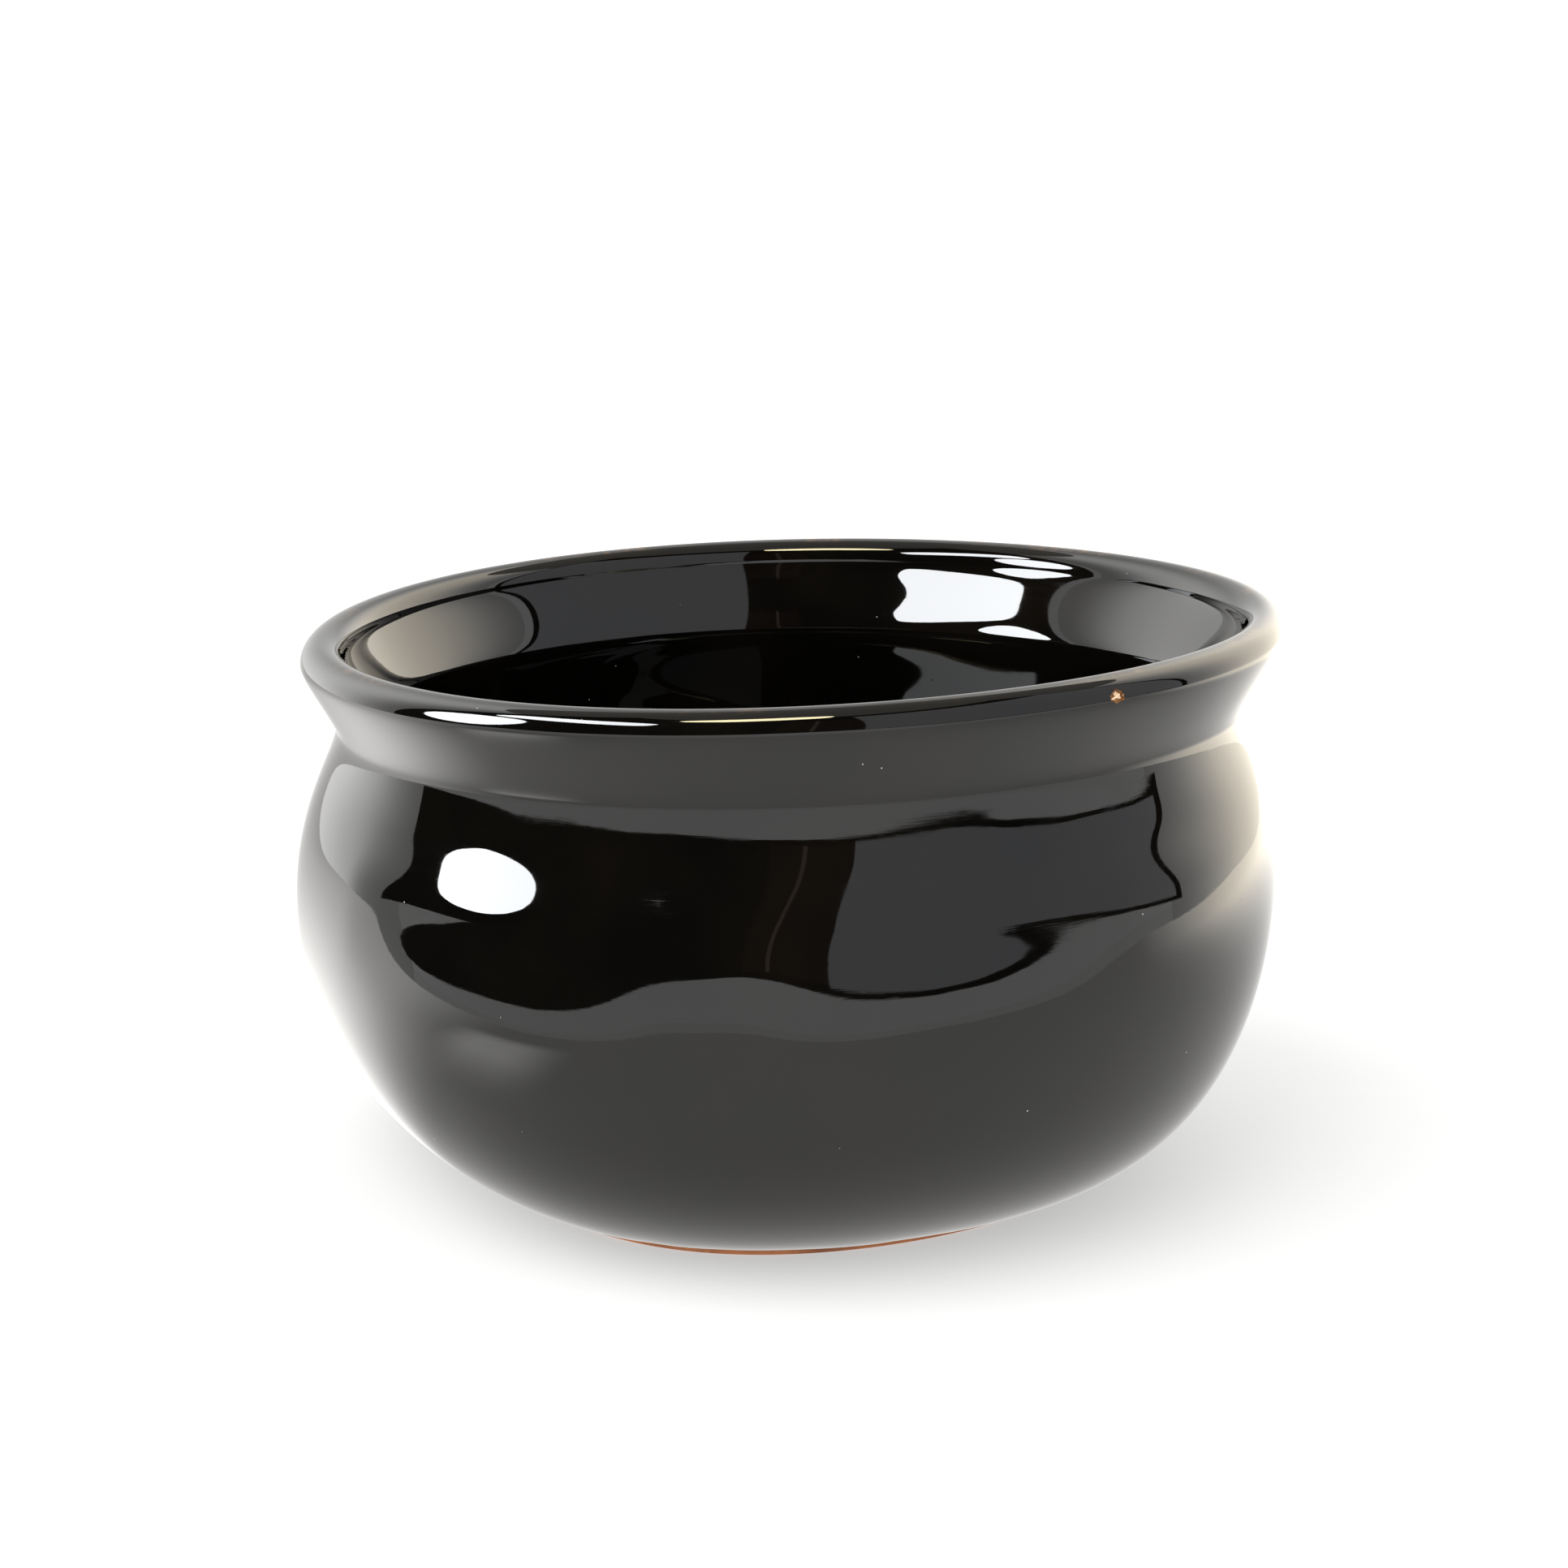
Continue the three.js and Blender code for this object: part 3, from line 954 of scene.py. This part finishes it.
def compass(turn, distance, height):
    """A place round the pot: turn in degrees from the front towards the right."""
    turn = math.radians(turn)
    return Vector((distance * math.sin(turn), -distance * math.cos(turn), height))


key_light = bpy.data.lights.new("key_light", "SUN")
key_light.energy = KEY_STRENGTH
key_light.angle = KEY_SPREAD
key = bpy.data.objects.new("key_light", key_light)
key.rotation_euler = (-compass(*KEY_FROM)).to_track_quat("-Z", "Y").to_euler()
key.visible_glossy = False
bpy.context.scene.collection.objects.link(key)

# %% [markdown]
# ## What the glaze mirrors
#
# A black mirror shows what stands round it, and this is what makes the glaze look black and wet. In
# front lies a dark room behind the turned-up edge of the sheet, with a grey wall on the right, a lit
# window on the left and a warm lamp overhead. Behind and to the sides the sheet is bright. All of it
# is made of cards that only mirrors can see, so they don't darken the floor.

# %% Cards that only the glaze can see
def glow(name, colour, strength):
    """A material that gives off light; returns the lamp too, so that it can be varied."""
    material = bpy.data.materials.new(name)
    material.use_nodes = True
    tree = material.node_tree
    tree.nodes.clear()
    lamp = add(tree, "ShaderNodeEmission", {"Color": (*colour, 1), "Strength": strength})
    out = tree.nodes.new("ShaderNodeOutputMaterial")
    feed(out.inputs["Surface"], lamp.outputs["Emission"])
    return material, tree, lamp


def only_mirrored(card):
    card.visible_camera = False
    card.visible_diffuse = False
    card.visible_shadow = False
    card.visible_transmission = False
    return card


def curved_card(name, distance, west, east, low, high, material, steps=48):
    """A card round the pot from one direction to another; low gives its lower edge's height."""
    points, faces = [], []
    for step in range(steps + 1):
        turn = west + (east - west) * step / steps
        points += [compass(turn, distance, low(turn)), compass(turn, distance, high)]
    for step in range(steps):
        first = 2 * step
        faces.append((first, first + 1, first + 3, first + 2))
    return only_mirrored(sheet(name, points, faces, material))


# %% The dark room and the grey wall behind the turned-up front edge of the sheet
ROOM = 0.45
ROOM_TOP = 1.19
WEST, EAST = -94, 92
COLUMN_WEST, COLUMN_EAST = -5, 14
DOOR_WEST, DOOR_EAST = 2.4, 3.4
DOOR_TOP = 0.6
GREY_TOP = 0.85
IN_FRONT = 0.01


def swell(turn, middle, reach):
    """One in the middle, easing to nothing a reach away on both sides."""
    share = min(abs(turn - middle) / reach, 1)
    return 1 - share * share * (3 - 2 * share)


def sheet_edge(turn):
    """The height of the sheet's turned-up front edge in a direction, on the room's wall."""
    curl = 52 + 80 * math.cos(math.radians(turn - 3))
    return (curl + 7 * swell(turn, -62, 38) - 20 * swell(turn, 36, 42)) * MM


def above_sheet(gap):
    """The lower edge of a card that leaves a dark line of the given width above the sheet."""
    return lambda turn: sheet_edge(turn) + gap


room_dark = glow("dark_room", (0.010, 0.009, 0.008), 1.0)[0]
curved_card("dark_room", ROOM, WEST, EAST, sheet_edge, ROOM_TOP, room_dark, 96)

grey_wall = glow("grey_wall", (0.94, 0.955, 1.0), 0.80)[0]
curved_card("grey_wall", ROOM - IN_FRONT, COLUMN_EAST, EAST - 2, above_sheet(7 * MM), GREY_TOP, grey_wall)
door_frame = glow("door_frame", (1.0, 0.75, 0.62), 0.30)[0]
curved_card(
    "door_frame", ROOM - IN_FRONT, DOOR_WEST, DOOR_EAST, above_sheet(10 * MM), DOOR_TOP, door_frame, 4
)
curtain = glow("curtain", (1.0, 0.6, 0.5), 0.045)[0]
curved_card(
    "curtain", ROOM - IN_FRONT / 2, COLUMN_WEST, COLUMN_EAST, above_sheet(10 * MM), DOOR_TOP, curtain
)


# %% The window and the lamp
CARD_POINTS = 64
LOW_WINDOW_TURN, LOW_WINDOW_SIZE = -76, (0.195, 0.27)
HIGH_WINDOW_TURN, HIGH_WINDOW_SIZE = -62, (0.33, 0.16)
LAMP_SIZE = (0.35, 0.16)
RIGHTWARDS, BACKWARDS, UPWARDS = Vector((1, 0, 0)), Vector((0, 1, 0)), Vector((0, 0, 1))


def window_card(name, middle, across, along, size, material, corner):
    """A flat card round its middle: an oval where corner is one, and squarer as it gets smaller."""
    width, height = size
    points = []
    for step in range(CARD_POINTS):
        angle = 2 * math.pi * step / CARD_POINTS
        side = math.copysign(abs(math.cos(angle)) ** corner, math.cos(angle))
        rise = math.copysign(abs(math.sin(angle)) ** corner, math.sin(angle))
        points.append(middle + across * side * width / 2 + along * rise * height / 2)
    return only_mirrored(sheet(name, points, [tuple(range(CARD_POINTS))], material))


daylight = glow("daylight", (0.955, 0.975, 1.0), 20.0)[0]
warm_lamp = glow("warm_lamp", (1.0, 0.9, 0.55), 22.0)[0]
low_middle = compass(LOW_WINDOW_TURN, ROOM - 0.02, 0.25)
low_across = compass(LOW_WINDOW_TURN + 90, 1, 0)
window_card("low_window", low_middle, low_across, UPWARDS, LOW_WINDOW_SIZE, daylight, 0.95)
high_middle = compass(HIGH_WINDOW_TURN, ROOM - 0.06, 0.48)
high_across = compass(HIGH_WINDOW_TURN + 90, 1, 0)
window_card("high_window", high_middle, high_across, UPWARDS, HIGH_WINDOW_SIZE, daylight, 0.5)
lamp_middle = Vector((-0.13, -0.32, 0.84))
window_card("ceiling_lamp", lamp_middle, RIGHTWARDS, BACKWARDS, LAMP_SIZE, warm_lamp, 0.6)

# %% The bright sheet behind and to the sides, and the ceiling
BACKDROP = 0.9
BACKDROP_TOP = 1.2
NEUTRAL = (1.0, 0.995, 0.98, 1)
NEUTRAL_FLOOR = (1.0, 0.99, 0.97, 1)
WARM = (1.0, 0.92, 0.78, 1)


def spot_and_turn(tree):
    """How far a point is from the middle of the pot, and in which direction from the front."""
    place = add(tree, "ShaderNodeTexCoord").outputs["Object"]
    place = add(tree, "ShaderNodeSeparateXYZ", {"Vector": place})
    x, y = Field(place.outputs["X"]), Field(place.outputs["Y"])
    return (x * x + y * y).math("SQRT"), x.math("ARCTAN2", y * -1)


def round_card(name, height, material):
    """A level disc as wide as the ring of the backdrop."""
    edge = [compass(turn, BACKDROP, height) for turn in range(0, 360, 6)]
    return only_mirrored(sheet(name, edge, [tuple(range(len(edge)))], material))


def side_light(turn, begin, full, fade, end):
    """A light that rises from begin to full and falls again from fade to end, in degrees."""
    rising = turn.between(math.radians(begin), math.radians(full))
    return rising * (1 - turn.between(math.radians(fade), math.radians(end)))


backdrop, drop_nodes, drop_lamp = glow("backdrop", (1.0, 1.0, 1.0), 1.0)
turn_here = spot_and_turn(drop_nodes)[1]
from_left = side_light(turn_here * -1, begin=96, full=122, fade=126, end=165)
from_right = side_light(turn_here, begin=90, full=128, fade=146, end=178)
feed(drop_lamp.inputs["Strength"], 1.0 + from_left * 1.7 + from_right * 2.4)
feed(drop_lamp.inputs["Color"], blend(drop_nodes, from_right, NEUTRAL, WARM))
curved_card("backdrop", BACKDROP, EAST, WEST + 360, lambda turn: 0.0, BACKDROP_TOP, backdrop, 96)
dim_ceiling = glow("dim_ceiling", (1.0, 0.96, 0.88), 0.45)[0]
round_card("dim_ceiling", BACKDROP_TOP, dim_ceiling)

# %% The sheet under the pot as it is mirrored, with painted light: brighter at the sides and warm on the right, a pool of light from the window, painted shade at the foot
MIRROR_HEIGHT = 0.4 * MM
mirror_floor, floor_nodes, floor_lamp = glow("mirrored_floor", (1.0, 0.99, 0.97), 1.0)
spot_far, spot_turn = spot_and_turn(floor_nodes)
# Painted light: the mirrored sheet is brighter to the left, and far out to the right, where light falls on
# it, and warm on the right.
from_left = side_light(spot_turn * -1, begin=62, full=102, fade=104, end=148)
from_right = side_light(spot_turn, begin=75, full=115, fade=140, end=175) * spot_far.between(0.12, 0.45)
# Painted shade: the mirrored sheet is a little darker near the foot, where the pot shades it.
shade_near_foot = spot_far.between(0.03, 0.13) * 0.2 + 0.8
window_pool = side_light(spot_turn * -1, begin=40, full=56, fade=62, end=74)
window_pool = window_pool * spot_far.between(0.10, 0.17) * (1 - spot_far.between(0.20, 0.32))
side_levels = from_left * 1.7 + from_right * 3.3 + window_pool * 1.5
feed(floor_lamp.inputs["Strength"], (1.0 + side_levels) * shade_near_foot)
feed(floor_lamp.inputs["Color"], blend(floor_nodes, from_right, NEUTRAL_FLOOR, WARM))
round_card("mirrored_floor", MIRROR_HEIGHT, mirror_floor)
cards = [thing for thing in bpy.data.objects if thing.type == "MESH" and not thing.visible_camera]
print("only mirrors see:", [card.name for card in cards])

# %% [markdown]
# ## The camera
#
# A long lens from a little above, looking at the middle of the pot, with the smallest tilt of the
# horizon.

# %% Camera
AIM = Vector((0.14, 0, 57.71)) * MM
DISTANCE = 564.05 * MM
LOOKING_DOWN = math.radians(12.82)
TILT = math.radians(0.53)
LENS = 84.23

camera_data = bpy.data.cameras.new("camera")
camera_data.lens = LENS
camera_data.sensor_width = 36
camera_data.clip_start = 0.01
camera_data.clip_end = 200
camera = bpy.data.objects.new("camera", camera_data)
back = Vector((0, -math.cos(LOOKING_DOWN), math.sin(LOOKING_DOWN)))
right = Vector((1, 0, 0))
up = back.cross(right)
tilted_right = right * math.cos(TILT) + up * math.sin(TILT)
tilted_up = up * math.cos(TILT) - right * math.sin(TILT)
facing = Matrix((tilted_right, tilted_up, back)).transposed().to_4x4()
camera.matrix_world = Matrix.Translation(AIM + back * DISTANCE) @ facing
bpy.context.scene.collection.objects.link(camera)
bpy.context.scene.camera = camera
print("the camera stands at, mm:", [round(number / MM) for number in camera.matrix_world.translation])

# %% Both boxes
fine_box = [list(corner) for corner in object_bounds()]
margins = [low - plain for low, plain in zip(fine_box[0], plain_box[0])]
margins += [plain - high for high, plain in zip(fine_box[1], plain_box[1])]
print("room left inside the plain box, mm:", [round(margin / MM, 3) for margin in margins])
